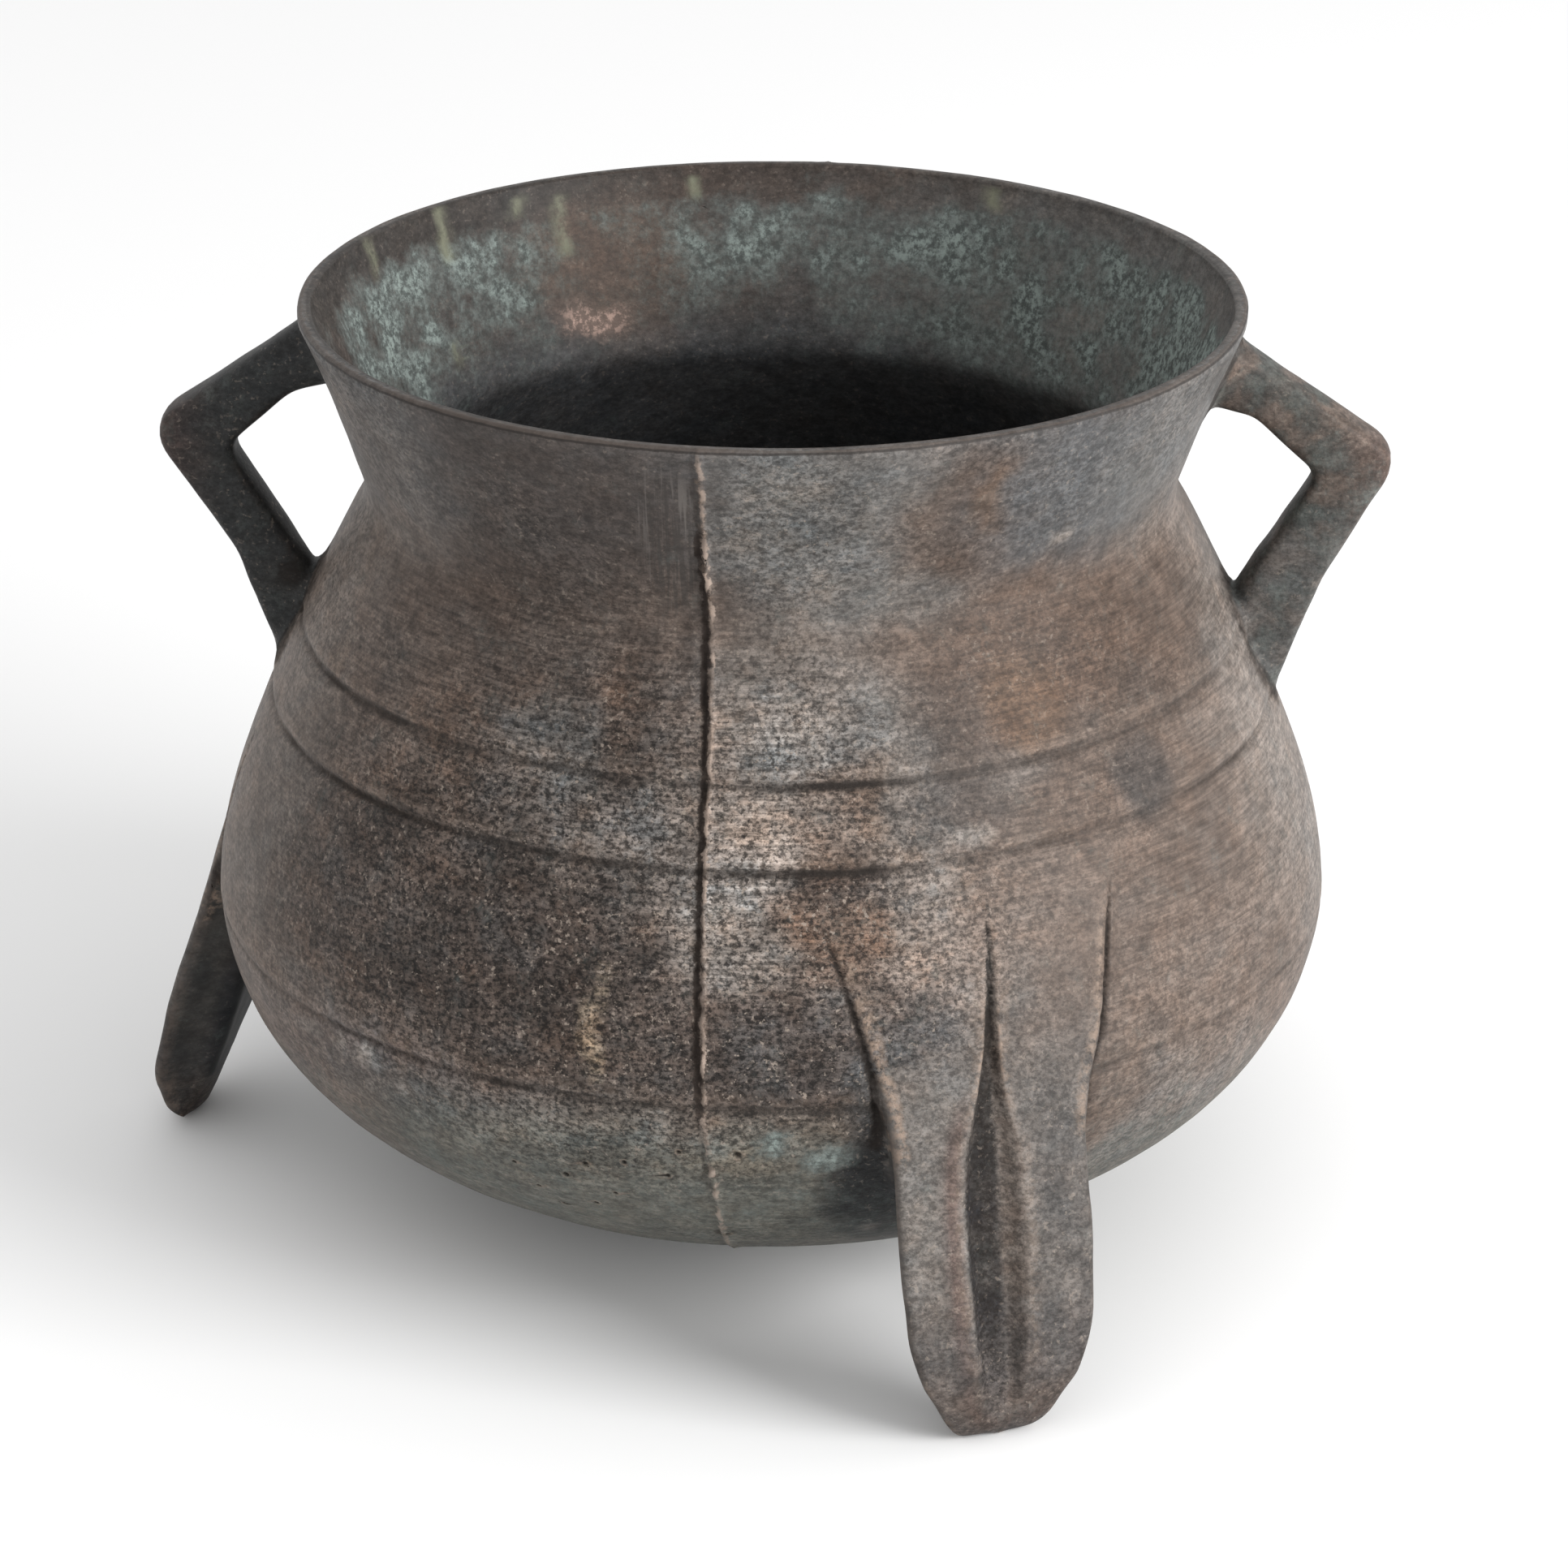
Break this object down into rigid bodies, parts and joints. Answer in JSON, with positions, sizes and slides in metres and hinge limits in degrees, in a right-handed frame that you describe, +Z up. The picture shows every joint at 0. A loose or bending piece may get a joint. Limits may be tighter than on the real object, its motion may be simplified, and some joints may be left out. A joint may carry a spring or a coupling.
{
  "type": "three-legged bronze cauldron",
  "caption": "Round-bellied cast cauldron with a flared neck, angular loop handles at the neck and grooved tripod legs, hollow and open at the top.",
  "frame": {"origin": "on the ground, under the middle of the bounding box", "axes": "+X through the handle on the right of the front leg, +Z up, the front leg towards -Y"},
  "size_m": [0.366, 0.3434, 0.2722],
  "materials": {
    "bronze": "dull brown-grey bronze patina with a fine sandy grain, rubbed buff on the high parts and blue-green inside the neck"
  },
  "bodies": {
    "root": {"cauldron": "bronze"}
  },
  "joints": []
}
